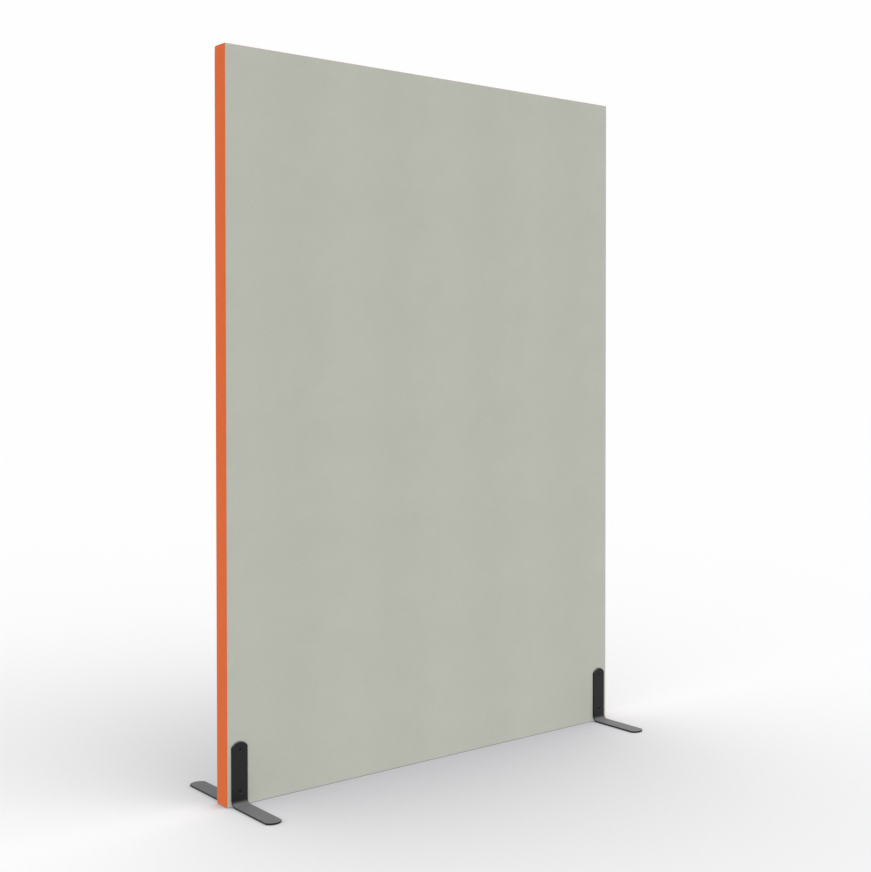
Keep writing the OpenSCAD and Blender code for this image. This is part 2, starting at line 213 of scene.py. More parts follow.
class Nodes:
    """The nodes of one tree."""

    def __init__(self, tree):
        self.tree = tree

    def node(self, kind, settings=None, values=(), output=0):
        """Adds a node with its settings, then gives its sockets their values or links."""
        made = self.tree.nodes.new(kind)
        for name, value in (settings or {}).items():
            setattr(made, name, value)
        for socket, value in values.items() if isinstance(values, dict) else enumerate(values):
            if isinstance(value, Reading):
                self.tree.links.new(value.socket, made.inputs[socket])
            else:
                made.inputs[socket].default_value = value
        return Reading(self, made.outputs[output])

    def feed(self, node, socket, reading):
        """Links a reading to a socket of a node that is there already."""
        self.tree.links.new(reading.socket, self.tree.nodes[node].inputs[socket])

    def place(self):
        """Object coordinates, in metres."""
        return self.node("ShaderNodeTexCoord", output="Object")

    def axes(self, vector):
        """The three parts of a vector."""
        split = self.node("ShaderNodeSeparateXYZ", values=[vector]).socket.node
        return [Reading(self, socket) for socket in split.outputs]

    def stretch(self, vector, scale):
        """A vector with each part scaled."""
        return self.node("ShaderNodeVectorMath", {"operation": "MULTIPLY"}, [vector, scale])

    def noise(self, vector, scale, detail=2.0, roughness=0.5):
        """Smooth noise about 0.5, with scale features to the metre."""
        values = {"Vector": vector, "Scale": scale, "Detail": detail, "Roughness": roughness}
        return self.node("ShaderNodeTexNoise", values=values)

    def between(self, share, first, second, blend="MIX"):
        """A colour from first to second, by share."""
        settings = {"data_type": "RGBA", "blend_type": blend, "clamp_factor": True}
        return self.node("ShaderNodeMix", settings, {0: share, 6: first, 7: second}, output=2)


class Finish(Nodes):
    """The material of one finish."""

    def __init__(self, name, constants=None):
        self.material = bpy.data.materials.new(name)
        self.material.use_nodes = True
        super().__init__(self.material.node_tree)
        for socket, value in (constants or {}).items():
            self.tree.nodes["Principled BSDF"].inputs[socket].default_value = value

    def coat(self, base, roughness, height, depth, metallic=None):
        """Feeds the shader with what changes over the surface, and gives the material."""
        relief = {"Strength": 0.7, "Distance": depth, "Height": height}
        normal = self.node("ShaderNodeBump", values=relief)
        readings = {"Base Color": base, "Roughness": roughness, "Normal": normal, "Metallic": metallic}
        for socket, reading in readings.items():
            if reading:
                self.feed("Principled BSDF", socket, reading)
        return self.material


def tint(shade, factor):
    """A colour made lighter or darker, with its alpha."""
    return tuple(min(1.0, part * factor) for part in shade) + (1.0,)


def woven_cloth(name, shade, pitch):
    """Plain-woven upholstery cloth of blended yarns, with the faint bands of its weaving."""
    constants = {"Sheen Weight": 0.06, "Sheen Roughness": 0.45, "Specular IOR Level": 0.1}
    finish = Finish(name, constants)
    threads = finish.node("ShaderNodeUVMap", {"uv_map": "threads"})
    drift = (finish.noise(threads, 60.0, 1.0) - 0.5) * (pitch * 0.8)
    across, along, _ = finish.axes(threads)
    warp = ((across + drift) * (pi / pitch)).wave()
    weft = ((along + drift) * (pi / pitch)).wave()
    warp_over = (warp * weft) > 0.0
    weft_over = 1 - warp_over
    warp_yarns = abs(warp) ** 0.7 * abs(weft) ** 1.3 * warp_over
    yarns = warp_yarns + abs(weft) ** 0.7 * abs(warp) ** 1.3 * weft_over
    fibre = finish.noise(finish.stretch(threads, (1.0, 0.35, 1.0)), 5200.0, 3.0, 0.65)
    warp_yarn = finish.noise(finish.stretch(threads, (1.0, 0.12, 1.0)), 900.0, 2.0, 0.6)
    weft_yarn = finish.noise(finish.stretch(threads, (0.12, 1.0, 1.0)), 900.0, 2.0, 0.6)
    mottle = finish.noise(threads, 14.0, 3.0, 0.55)
    sway = (mottle - 0.5) * 1.5

    def broad_wave(run, start, pitch, strength):
        return ((run - start) * (2 * pi / pitch) + sway).wave() * strength

    bands = broad_wave(across, start=0.26, pitch=0.294, strength=0.045)
    bars = broad_wave(along, start=0.11, pitch=0.268, strength=0.018)
    tone = (warp_yarn - 0.5) * warp_over + (weft_yarn - 0.5) * weft_over + bands + bars
    tone = tone + 0.5 + (mottle - 0.5) * 0.25 + (fibre - 0.5) * 0.35 + (yarns - 0.55) * 0.3
    base = finish.between(tone, tint(shade, 0.86), tint(shade, 1.14))
    return finish.coat(base, 0.78 + fibre * 0.16, yarns + fibre * 0.35, 0.16 * MM)


def felted_fibre(name, shade, dark, scale, depth):
    """Loose fibre matting, such as wadding, absorber or non-woven cloth."""
    finish = Finish(name, {"Sheen Weight": 0.2, "Sheen Roughness": 0.6, "Specular IOR Level": 0.1})
    place = finish.place()
    tangle = finish.noise(finish.stretch(place, (1.0, 0.5, 0.35)), scale, 5.0, 0.7)
    strands = finish.noise(finish.stretch(place, (0.25, 1.0, 1.0)), scale * 2.3, 3.0, 0.6)
    cloud = finish.noise(place, scale * 0.04, 2.0)
    tone = tangle * 0.6 + strands * 0.3 + cloud * 0.4 - 0.15
    base = finish.between(tone, tint(shade, dark), tint(shade, 1.1))
    return finish.coat(base, 0.95 - tangle * 0.1, tangle + strands * 0.6, depth)


def planed_timber(name, shade, upright):
    """Planed wood with its grain upright or level."""
    finish = Finish(name, {"Specular IOR Level": 0.3})
    grain = finish.stretch(finish.place(), (1.0, 1.0, 0.06) if upright else (0.06, 1.0, 1.0))
    wander = finish.noise(grain, 14.0, 2.0)
    x, y, z = finish.axes(grain)
    rings = ((y + x * 0.7 + z * 0.6) * 420.0 + wander * 26.0).wave() * 0.5 + 0.5
    pores = finish.noise(grain, 1400.0, 3.0, 0.7)
    late_wood = (shade[0] * 0.72, shade[1] * 0.62, shade[2] * 0.5, 1.0)
    base = finish.between(rings * 0.55 + pores * 0.35 + wander * 0.2, tint(shade, 1.12), late_wood)
    return finish.coat(base, 0.62 + pores * 0.18 - rings * 0.06, rings * 0.4 + pores, 0.12 * MM)


def powder_coat(name, shade, dust):
    """Fine-textured black powder coat, dulled by handling, with painted top light: what faces up is
    painted lighter, as light falls on it.
    """
    finish = Finish(name, {"IOR": 1.2})
    place = finish.place()
    peel = finish.noise(place, 900.0, 2.0)
    grit = finish.noise(place, 3600.0, 2.0, 0.6)
    handling = finish.noise(place, 38.0, 3.0, 0.55)
    clean = finish.between(grit * 0.6 + handling * 0.4, tint(shade, 0.7), tint(shade, 1.35))
    facing = finish.node("ShaderNodeTexCoord", output="Normal")
    upward = finish.axes(facing)[2].within(0.25, 1.0)
    # The colour passed as dust is painted top light, mixed in where the coat faces up.
    base = finish.between(upward * (0.75 + handling * 0.3 + grit * 0.2), clean, tint(dust, 1.0))
    rough = 0.42 + upward * 0.1 + (handling - 0.5) * 0.12 + (grit - 0.5) * 0.1
    return finish.coat(base, rough, peel * 0.7 + grit * 0.3, 0.05 * MM)


def blackened_steel(name, shade):
    """Oiled black finish of the socket screws, rubbed a little bright."""
    finish = Finish(name, {"IOR": 1.2})
    place = finish.place()
    rub = finish.noise(place, 700.0, 4.0, 0.65)
    lathe = finish.noise(finish.stretch(place, (1.0, 0.2, 1.0)), 2600.0)
    base = finish.between(rub * 0.7 + lathe * 0.3, tint(shade, 0.8), tint(shade, 1.9))
    return finish.coat(base, 0.3 + rub * 0.18, lathe, 0.02 * MM, 0.2 + rub * 0.3)


def bare_metal(name, shade, roughness):
    """Turned brass or drawn zinc-plated wire."""
    finish = Finish(name, {"Metallic": 1.0})
    place = finish.place()
    lathe = finish.noise(finish.stretch(place, (0.3, 4.0, 0.3)), 1500.0)
    dull = finish.noise(place, 320.0, 3.0, 0.6)
    base = finish.between(dull, tint(shade, 0.82), tint(shade, 1.1))
    return finish.coat(base, roughness + (dull - 0.5) * 0.2, lathe, 0.015 * MM)


def moulded_rubber(name, shade):
    """Matt black rubber of the glide pads."""
    finish = Finish(name, {"Specular IOR Level": 0.35})
    place = finish.place()
    skin = finish.noise(place, 1800.0, 3.0, 0.6)
    dust = finish.noise(place, 60.0, 4.0, 0.6)
    base = finish.between(dust, tint(shade, 0.8), tint(shade, 2.2))
    return finish.coat(base, 0.62 + dust * 0.2, skin, 0.04 * MM)


# Making pieces


def add_object(name, data):
    """Links data to the scene as an object."""
    made = bpy.data.objects.new(name, data)
    bpy.context.scene.collection.objects.link(made)
    return made


def finished_piece(mesh, material, replaced):
    """Links a mesh as a piece, with its finish and the node it stands for."""
    piece = add_object(mesh.name, mesh)
    mesh.materials.append(material)
    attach(piece, "root")
    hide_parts(replaced)
    return piece


def refinish(node, material):
    """Gives a CAD node its finish."""
    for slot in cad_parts[node].material_slots:
        slot.material = material


def to_mesh(name, bm, crease=180.0):
    """Smooth mesh of a bmesh, with closed seams, sharp where it turns past crease degrees."""
    bmesh.ops.remove_doubles(bm, verts=bm.verts, dist=0.002 * MM)
    bmesh.ops.dissolve_degenerate(bm, edges=bm.edges, dist=0.001 * MM)
    bmesh.ops.recalc_face_normals(bm, faces=bm.faces)
    mesh = bpy.data.meshes.new(name)
    bm.to_mesh(mesh)
    bm.free()
    mesh.shade_smooth()
    mesh.set_sharp_from_angle(angle=radians(crease))
    return mesh


def made_verts(made):
    """The vertices of what an operator made."""
    return [part for part in made["geom"] if isinstance(part, bmesh.types.BMVert)]


def round_off(bm, edges, offset, segments):
    """Rounds edges."""
    bmesh.ops.bevel(
        bm, geom=edges, offset=offset, segments=segments, profile=0.5, affect="EDGES", material=-1
    )


def slice_at(bm, place, normal):
    """Cuts everything where a plane crosses it."""
    whole = bm.verts[:] + bm.edges[:] + bm.faces[:]
    bmesh.ops.bisect_plane(bm, geom=whole, plane_co=place, plane_no=normal)


def slice_up(bm, axis, low, high, cuts):
    """Cuts everything across an axis into even slices."""
    normal = Vector((axis == 0, axis == 1, axis == 2))
    for step in range(1, cuts):
        slice_at(bm, normal * (low + (high - low) * step / cuts), normal)


def box_of(low, high):
    """Bmesh of a plain block between two corners."""
    bm = bmesh.new()
    bmesh.ops.create_cube(bm, size=1.0)
    bmesh.ops.scale(bm, vec=high - low, verts=bm.verts)
    bmesh.ops.translate(bm, vec=(low + high) / 2, verts=bm.verts)
    return bm


# Covers and bands

# Rings of cloth that roll round an edge to its seam: share of the way, and radius as a share
ROLL = ((1.0, 0.66), (0.995, 0.9), (0.95, 0.98), (0.86, 1.0), (0.7, 1.0), (0.5, 1.0), (0.25, 1.0))
# Rows of cloth that turn under the lower edge, and on the flap beyond it
TURN = tuple(("turn", radians(degrees)) for degrees in (90, 75, 60, 45, 30, 15))
FLAP = tuple(("flap", share) for share in (1.0, 0.8, 0.55, 0.28))
# Lines of a cover in millimetres: out from a leg, along its curved end, in from the ends, and up
BESIDE_LEG = (0.0, 0.12, 0.3, 0.55, 0.85, 1.2, 1.65, 2.25, 3.0, 4.0, 5.5, 7.5)
LEG_STEP = 0.65
LEG_END = 16.0
ROOM_OUTSIDE_LEG = 3.2
INSETS = (3, 4, 5, 6, 7, 60, 64, 70, 80, 95, 120, 160, 220, 300, 400, 500)
HEIGHTS = (
    *(4.2, 5.2, 6.5, 8, 9.5, 11, 12.5, 14, 15.4, 16.4, 17, 18, 20, 24, 30, 40, 52, 66, 80, 94, 106, 116),
    *(123, 127, 155, 159, 165, 174, 187, 205, 235, 280, 350, 450, 570, 700, 850, 1000, 1150, 1300),
    *(1430, 1530, 1600, 1640, 1665, 1680, 1688, 1692, 1695, 1696.4),
)
# Lines of a band, in millimetres from the middle of its width
BAND_COLUMNS = (20, 18.5, 16, 12.5, 8.5, 4.5)
# How quickly a band rises from its seam, and its fold from the seam and from the mitre
BAND_SOFTNESS = 4 * MM
FOLD_SOFTNESS = 0.5 * MM
FOLD_FADE = 12 * MM
# Lip that the padding throws up beside a leg: height, distance out and width
LIP = (0.25 * MM, 2.6 * MM, 2.2 * MM)
CLEAR_OF_BAR = 0.05 * MM


def lay_cloth(name, columns, rows, place, thickness):
    """Cloth of a thickness laid over a grid, whose crossings place() puts on the surface."""
    bm = bmesh.new()
    wide, high = len(columns) - 1, len(rows) - 1
    bmesh.ops.create_grid(bm, x_segments=wide, y_segments=high, size=1)
    run_across = distances([place(column, rows[high // 2], 0.0) for column in columns])
    run_along = distances([place(columns[wide // 2], row, 0.0) for row in rows])
    crossing = bm.verts.layers.int.new("crossing")
    threads = bm.loops.layers.uv.new("threads")
    for vert in bm.verts:
        i, j = round((vert.co.x + 1) / 2 * wide), round((vert.co.y + 1) / 2 * high)
        vert[crossing] = j * len(columns) + i
    for face in bm.faces:
        for loop in face.loops:
            j, i = divmod(loop.vert[crossing], len(columns))
            loop[threads].uv = (run_across[i], run_along[j])
    outer = bm.verts[:]
    inner = made_verts(bmesh.ops.extrude_face_region(bm, geom=bm.faces[:]))
    for depth, verts in ((0.0, outer), (thickness, inner)):
        for vert in verts:
            j, i = divmod(vert[crossing], len(columns))
            vert.co = place(columns[i], rows[j], depth)
    bm.verts.layers.int.remove(crossing)
    return to_mesh(name, bm)


def distances(points):
    """Running length along a row of points."""
    run = [0.0]
    for first, second in zip(points, points[1:]):
        run.append(run[-1] + (second - first).length)
    return run


def end_curve(feet):
    """Radius of the curve across a bar's end, and how far out and in its corners' centres lie."""
    arch = (foot_half**2 + feet.end_rise**2) / (2 * feet.end_rise)
    corner_out = foot_half - feet.end_corner
    return arch, corner_out, arch - sqrt((arch - feet.end_corner) ** 2 - corner_out**2)


def leg_distance(x, z, feet):
    """Distance in the plane of a face from the outline of the nearer leg, negative inside."""
    across = abs(abs(x) - foot_middle)
    arch, corner_x, corner_in = end_curve(feet)
    arch_z, corner_z = foot_high.z - arch, foot_high.z - corner_in
    if z <= corner_z:
        return across - foot_half
    if across * (corner_z - arch_z) < corner_x * (z - arch_z):
        return hypot(across, z - arch_z) - arch
    return hypot(max(0.0, across - corner_x), z - corner_z) - feet.end_corner


def room_behind_bar(z, feet):
    """How far the bar's back has left the face of the panel at a height."""
    outer = feet.bend + feet.bar
    below = foot_low.z + outer - z
    return outer - sqrt(outer**2 - max(0.0, min(below, outer)) ** 2)


def rise(distance, softness):
    """Share of its fullness that padding has reached at a distance from a seam."""
    return 1 - exp(-max(0.0, distance) / softness)


def face_fullness(x, z, sizes, feet):
    """How far a face stands proud of the panel's plane, with the dents of the legs."""
    seam_inset = sizes.edge_radius * (1 - sin(sizes.seam_angle))
    side = panel_side - seam_inset - abs(x)
    full = sizes.face_fullness * rise(side, sizes.softness)
    full *= rise(panel_top - seam_inset - z, sizes.softness) * rise(z - panel_bottom, sizes.softness)
    outside = leg_distance(x, z, feet)
    under = min(full, room_behind_bar(z, feet) - CLEAR_OF_BAR)
    if outside <= 0:
        return under
    height, out, width = LIP
    lip = height * exp(-(((outside - out) / width) ** 2)) * rise(side, sizes.softness)
    return under + (full + lip - under) * rise(outside, sizes.hug)


def cover_lines():
    """Columns and rows of a cover, close together round the legs. Each is a kind and its values."""
    leg_inset = (panel_side - foot_middle - foot_half) / MM
    leg_wide, leg_top = 2 * foot_half / MM, foot_high.z / MM
    insets = {*INSETS, *(leg_inset - gap for gap in BESIDE_LEG if gap < ROOM_OUTSIDE_LEG)}
    insets |= {leg_inset + leg_wide + gap for gap in BESIDE_LEG}
    insets |= {leg_inset + LEG_STEP * step for step in range(ceil(leg_wide / LEG_STEP))}
    left = [("roll", *ring) for ring in ROLL] + [("run", inset * MM) for inset in sorted(insets)]
    columns = [(-1, *line) for line in left] + [(1, "run", panel_side)]
    columns += [(1, *line) for line in reversed(left)]
    heights = {*HEIGHTS, *(leg_top + gap for gap in BESIDE_LEG)}
    heights |= {leg_top - LEG_STEP * step for step in range(ceil(LEG_END / LEG_STEP))}
    rows = [*FLAP, *TURN, *(("run", height * MM) for height in sorted(heights))]
    rows += [("roll", *ring) for ring in reversed(ROLL)]
    return columns, rows


def cover_place(face, sizes, feet):
    """Function that puts a crossing of a face's cover on the surface. face is -1 in front."""
    radius = sizes.edge_radius
    core_x, core_y = panel_side - radius, panel_face - radius
    core_low, core_high = panel_bottom + radius, panel_top - radius

    def place(column, row, depth):
        side, kind, *across = column
        share, size = across if kind == "roll" else (0.0, 1.0)
        x = side * core_x if kind == "roll" else side * (panel_side - across[0])
        if row[0] == "flap":
            inward = row[1] * sizes.flap
            x = max(inward - core_x, min(core_x - inward, x))
            return Vector((x, face * (core_y - inward), core_low - radius * size + depth))
        if row[0] == "turn":
            swell = sizes.face_fullness * rise(radius * (1 - row[1] / (pi / 2)), sizes.softness)
            swell *= rise(panel_side - abs(x), sizes.softness) if kind == "run" else 0.0
            flat = (radius * size - depth) * cos(row[1])
            x += side * flat * sin(share * sizes.seam_angle)
            y = core_y + flat * cos(share * sizes.seam_angle) + swell
            return Vector((x, face * y, core_low - (radius * size - depth) * sin(row[1])))
        up, up_size = row[1:] if row[0] == "roll" else (0.0, 1.0)
        z = core_high if row[0] == "roll" else row[1]
        tip = Vector((share * sqrt(1 - up * up / 2), up * sqrt(1 - share * share / 2)))
        tilt = tip.length * sizes.seam_angle
        reach = radius * (size if share >= up else up_size)
        if tip.length > 0:
            tip.normalize()
        outer_x = abs(x) + reach * sin(tilt) * tip.x
        outer_z = z + reach * sin(tilt) * tip.y
        swell = face_fullness(outer_x, outer_z, sizes, feet)
        away = (reach - depth) * sin(tilt)
        x += side * away * tip.x
        z += away * tip.y
        return Vector((x, face * (core_y + (reach - depth) * cos(tilt) + swell), z))

    return place


def band_lines(first_end, stops):
    """Columns across the band, and rows along it from its first end to the mitre at its last."""
    half = [("roll", *ring) for ring in ROLL]
    half += [("run", y * MM) for y in BAND_COLUMNS]
    columns = [(-1, *line) for line in half] + [(1, "run", 0.0)]
    columns += [(1, *line) for line in reversed(half)]
    mitre = [("mitre", *ring) for ring in ROLL]
    rows = [(-1, *row) for row in ([*FLAP, *TURN] if first_end == "flap" else mitre)]
    rows += [(0, "run", stop) for stop in stops] + [(1, *row) for row in reversed(mitre)]
    return columns, rows


def band_place(low, high, along, outward, sizes):
    """Function that puts a crossing of an edge band on the surface, between its corners' centres."""
    radius = sizes.edge_radius
    core_y = panel_face - radius
    core_out = (panel_side if outward.x else panel_top) - radius
    fold = sizes.band_fold if outward.x else 0.0

    def place(column, row, depth):
        side, kind, *across = column
        share, size = across if kind == "roll" else (0.0, 1.0)
        from_face = pi / 2 - share * (pi / 2 - sizes.seam_angle)
        end, row_kind, *values = row
        if row_kind == "mitre" and values[0] > share:
            size = values[1]
        reach = radius * size - depth
        middle_y = side * (core_y if kind == "roll" else across[0])
        to_seam = core_y - abs(middle_y) + radius * (cos(sizes.seam_angle) - cos(from_face))
        to_mitre = {"run": high - values[0], "mitre": 0.0}.get(row_kind, high - low)
        proud = fold * rise(to_seam, FOLD_SOFTNESS) * rise(to_mitre, FOLD_FADE)
        proud += sizes.band_fullness * rise(to_seam, BAND_SOFTNESS)
        out = reach * sin(from_face) + proud
        y = reach * cos(from_face) * side
        position = values[0]
        if row_kind == "flap":
            inward = values[0] * sizes.flap
            middle_y = max(inward - core_y, min(core_y - inward, middle_y))
            out, y, position = -inward, 0.0, low - reach
        elif row_kind == "turn":
            out, y = out * cos(values[0]), y * cos(values[0])
            position = low - reach * sin(values[0])
        elif row_kind == "mitre":
            position = (low if end < 0 else high) + end * out * sin(values[0] * pi / 4)
            out *= cos(values[0] * pi / 4)
        return along * position + outward * (core_out + out) + Vector((0, middle_y + y, 0))

    return place


def spaced(low, high, count):
    """Stops from low to high, closer together at both ends."""
    shares = (0.5 - 0.5 * cos(pi * step / count) for step in range(count + 1))
    return [low + (high - low) * share for share in shares]


# Padding


def rounded_slab(name, low, high, rounding, cuts, crown):
    """Soft slab with rounded edges and slightly crowned faces."""
    bm = box_of(low, high)
    round_off(bm, bm.edges[:], rounding, 3)
    for axis in (0, 2):
        slice_up(bm, axis, low[axis], high[axis], cuts)
    middle, half = (low + high) / 2, (high - low) / 2
    for vert in bm.verts:
        away = [abs(vert.co[axis] - middle[axis]) / half[axis] for axis in (0, 2)]
        hollow = crown * (1 - (1 - away[0] ** 4) * (1 - away[1] ** 4))
        vert.co.y -= copysign(hollow, vert.co.y - middle.y)
    return to_mesh(name, bm, 50.0)


def edge_strip(name):
    """One strip of wadding over both ends and the top, between the frame and the edge band."""
    low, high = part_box("edge_padding")
    timber_top, timber_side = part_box("frame_top_rail")[1].z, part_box("frame_right_stile")[1].x
    bm = box_of(low, high)
    for side in (-1, 1):
        slice_at(bm, (side * timber_side, 0, 0), (1, 0, 0))
    slice_at(bm, (0, 0, timber_top), (0, 0, 1))
    middles = ((face, face.calc_center_median()) for face in bm.faces)
    inner = [
        face
        for face, middle in middles
        if abs(middle.x) < timber_side - 1 * MM and middle.z < timber_top - 1 * MM
    ]
    bmesh.ops.delete(bm, geom=inner, context="FACES")
    bmesh.ops.bridge_loops(bm, edges=[edge for edge in bm.edges if edge.is_boundary])
    outer = [
        edge
        for edge in bm.edges
        if edge.calc_face_angle(0.0) > 1.0
        and all(abs(v.co.x) > high.x - 0.1 * MM or v.co.z > high.z - 0.1 * MM for v in edge.verts)
    ]
    round_off(bm, outer, 0.7 * MM, 2)
    slice_up(bm, 0, low.x, high.x, 40)
    slice_up(bm, 2, low.z, high.z, 50)
    return to_mesh(name, bm, 50.0)


def underside_strip(name, low, high):
    """Thin strip with its long sides folded under, drawn up a little between its staples."""
    bm = bmesh.new()
    bmesh.ops.create_grid(bm, x_segments=160, y_segments=10, size=0.5)
    bmesh.ops.scale(bm, vec=(high.x - low.x, high.y - low.y, 1), verts=bm.verts)
    bmesh.ops.translate(bm, vec=(0, 0, high.z), verts=bm.verts)
    for vert in made_verts(bmesh.ops.extrude_face_region(bm, geom=bm.faces[:])):
        folded = high.y - abs(vert.co.y) < 5 * MM
        wave = 0.1 * sin(vert.co.x * 37.0) + 0.08 * sin(vert.co.x * 91.0 + 2.0)
        vert.co.z = high.z - (high.z - low.z) * (1.0 if folded else 0.55 + wave)
    return to_mesh(name, bm, 50.0)


# Feet and their screws

BEND_CUTS = 20
THREAD_GROOVES = 9
GROOVE_SIZE = 0.9
SOCKET_TWISTS = (0.35, 1.1)


def arc(bm, vert, centre, turned, steps):
    """Carries a line on round a centre from its last vertex, and gives the new last one."""
    made = bmesh.ops.spin(
        bm, geom=[vert], cent=(*centre, 0), axis=(0, 0, 1), angle=turned, steps=steps, use_merge=False
    )
    return next(part for part in made["geom_last"] if isinstance(part, bmesh.types.BMVert))


def pull(bm, loop, deeper, widen=1.0):
    """Extrudes a loop of edges down, widens it about the middle, and gives the new loop."""
    made = bmesh.ops.extrude_edge_only(bm, edges=loop)
    verts = made_verts(made)
    bmesh.ops.scale(bm, vec=(widen, widen, 1), verts=verts)
    bmesh.ops.translate(bm, vec=(0, 0, -deeper), verts=verts)
    edges = (part for part in made["geom"] if isinstance(part, bmesh.types.BMEdge))
    return [edge for edge in edges if set(edge.verts) <= set(verts)]


def flat_bar(bm, feet, run):
    """The bar before it is bent: back face at Z = 0, along Y from the leg's end to the tip."""
    arch, corner_x, corner_y = end_curve(feet)
    lean = atan2(corner_x, arch - corner_y)
    first = vert = bmesh.ops.create_vert(bm, co=(foot_half, corner_y, 0))["vert"][0]
    for end, way in ((0.0, 1), (run, -1)):
        vert = arc(bm, vert, (way * corner_x, end + way * corner_y), lean - pi / 2, 5)
        vert = arc(bm, vert, (0, end + way * arch), -2 * lean, 28)
        vert = arc(bm, vert, (-way * corner_x, end + way * corner_y), lean - pi / 2, 5)
        if way > 0:
            vert = bmesh.ops.extrude_vert_indiv(bm, verts=[vert])["verts"][0]
            vert.co.y = run - corner_y
    bmesh.ops.contextual_create(bm, geom=[vert, first])
    for height in screw_heights:
        ring = bmesh.ops.create_circle(bm, cap_ends=False, segments=40, radius=hole_radius)
        bmesh.ops.translate(bm, vec=(0, foot_high.z - height, 0), verts=ring["verts"])
    bmesh.ops.triangle_fill(bm, use_beauty=True, use_dissolve=False, edges=bm.edges[:])
    front = made_verts(bmesh.ops.extrude_face_region(bm, geom=bm.faces[:]))
    bmesh.ops.translate(bm, vec=(0, 0, feet.bar), verts=front)


def countersink(bm, feet):
    """Gives the bar's straight holes a rim, a cone and room for the shank."""
    shank, rim = head_radius / 2 + 0.3 * MM, 0.4 * MM
    cone = feet.bar - rim - (hole_radius - shank)
    levels = ((0.0, shank), (cone, shank), (feet.bar - rim, hole_radius), (feet.bar, hole_radius))
    for height in screw_heights:
        middle = Vector((0, foot_high.z - height))
        reach = hole_radius + 0.1 * MM
        upright = (edge for edge in bm.edges if edge.verts[0].co.z != edge.verts[1].co.z)
        walls = [edge for edge in upright if (edge.verts[0].co.xy - middle).length < reach]
        bmesh.ops.subdivide_edges(bm, edges=walls, cuts=2, use_grid_fill=False)
        for vert in bm.verts:
            away = vert.co.xy - middle
            if away.length < reach:
                depth, radius = levels[round(vert.co.z / feet.bar * 3)]
                vert.co = (*(middle + away.normalized() * radius), depth)


def on_outline(vert):
    """Whether a vertex of the flat bar is on its outline, and not round a hole."""
    to_hole = min(abs(vert.co.y - (foot_high.z - height)) for height in screw_heights)
    return abs(vert.co.x) > foot_half / 2 or to_hole > head_radius + 2 * MM


def foot_bar(name, side, face, feet):
    """Bar with curved ends and countersunk holes, bent to an L."""
    outer = feet.bend + feet.bar
    bend_run = pi / 2 * (feet.bend + feet.bar / 2)
    leg_run = foot_high.z - foot_low.z - outer
    bm = bmesh.new()
    flat_bar(bm, feet, leg_run + bend_run + foot_tip - panel_face - outer)
    countersink(bm, feet)
    bmesh.ops.recalc_face_normals(bm, faces=bm.faces)
    rims = [
        edge
        for edge in bm.edges
        if edge.calc_face_angle(0.0) > radians(80)
        and edge.verts[0].co.z == edge.verts[1].co.z
        and all(on_outline(vert) for vert in edge.verts)
    ]
    round_off(bm, rims, feet.rounding, 3)
    for step in range(BEND_CUTS + 1):
        slice_at(bm, (0, leg_run + bend_run * step / BEND_CUTS, 0), (0, 1, 0))
    for vert in bm.verts:
        across, run, raised = vert.co
        turned = min(1.0, max(0.0, (run - leg_run) / bend_run)) * pi / 2
        radius = outer - raised
        out = outer - radius * cos(turned) + max(0.0, run - leg_run - bend_run)
        height = foot_high.z - min(run, leg_run) - radius * sin(turned)
        vert.co = (side * foot_middle + across, face * (panel_face + out), height)
    return to_mesh(name, bm, 50.0)


def socket_screw(bm, feet):
    """Countersunk screw with a hexagon socket. The rim of its head lies at Z = 0, its tip points down."""
    loops = []
    corner = feet.socket / 2 / cos(pi / 6)
    flat, widest = head_radius - 0.15 * MM, head_radius - 0.05 * MM
    for segments, radius in ((6, corner), (48, feet.socket_mouth / 2), (48, flat)):
        verts = bmesh.ops.create_circle(bm, cap_ends=False, segments=segments, radius=radius)["verts"]
        loops.append(list({edge for vert in verts for edge in vert.link_edges}))
    hexagon, mouth, rim = loops
    for inner, outer in ((hexagon, mouth), (mouth, rim)):
        bmesh.ops.triangle_fill(bm, use_beauty=True, use_dissolve=False, edges=inner + outer)
    lead = (feet.socket_mouth - feet.socket) / 4
    corners = {vert for edge in hexagon for vert in edge.verts}
    bmesh.ops.translate(bm, vec=(0, 0, -lead), verts=list(corners))
    wall = pull(bm, hexagon, feet.socket_depth - lead)
    bmesh.ops.contextual_create(bm, geom=pull(bm, wall, 0.3 * MM, 0.5))
    loop = pull(bm, rim, 0.15 * MM, widest / flat)
    loop = pull(bm, loop, head_radius / 2 - 0.05 * MM, head_radius / 2 / widest)
    left = screw_length - feet.sink - head_radius / 2 - 1.1 * MM
    for _ in range(THREAD_GROOVES):
        loop = pull(bm, loop, left / THREAD_GROOVES - 0.8 * MM)
        loop = pull(bm, loop, 0.4 * MM, GROOVE_SIZE)
        loop = pull(bm, loop, 0.4 * MM, 1 / GROOVE_SIZE)
    bmesh.ops.contextual_create(bm, geom=pull(bm, loop, 1 * MM, 0.68))


def foot_screws(name, side, face, feet):
    """Both screws of a foot, driven in from the face of the leg."""
    bm = bmesh.new()
    for height, twist in zip(screw_heights, SOCKET_TWISTS):
        before = set(bm.verts)
        socket_screw(bm, feet)
        screw = [vert for vert in bm.verts if vert not in before]
        head = Vector((side * foot_middle, face * (panel_face + feet.bar - 0.1 * MM - feet.sink), height))
        lie = Matrix.Rotation(-face * pi / 2, 4, "X") @ Matrix.Rotation(twist, 4, "Z")
        bmesh.ops.transform(bm, matrix=Matrix.Translation(head) @ lie, verts=screw)
    return to_mesh(name, bm, 35.0)


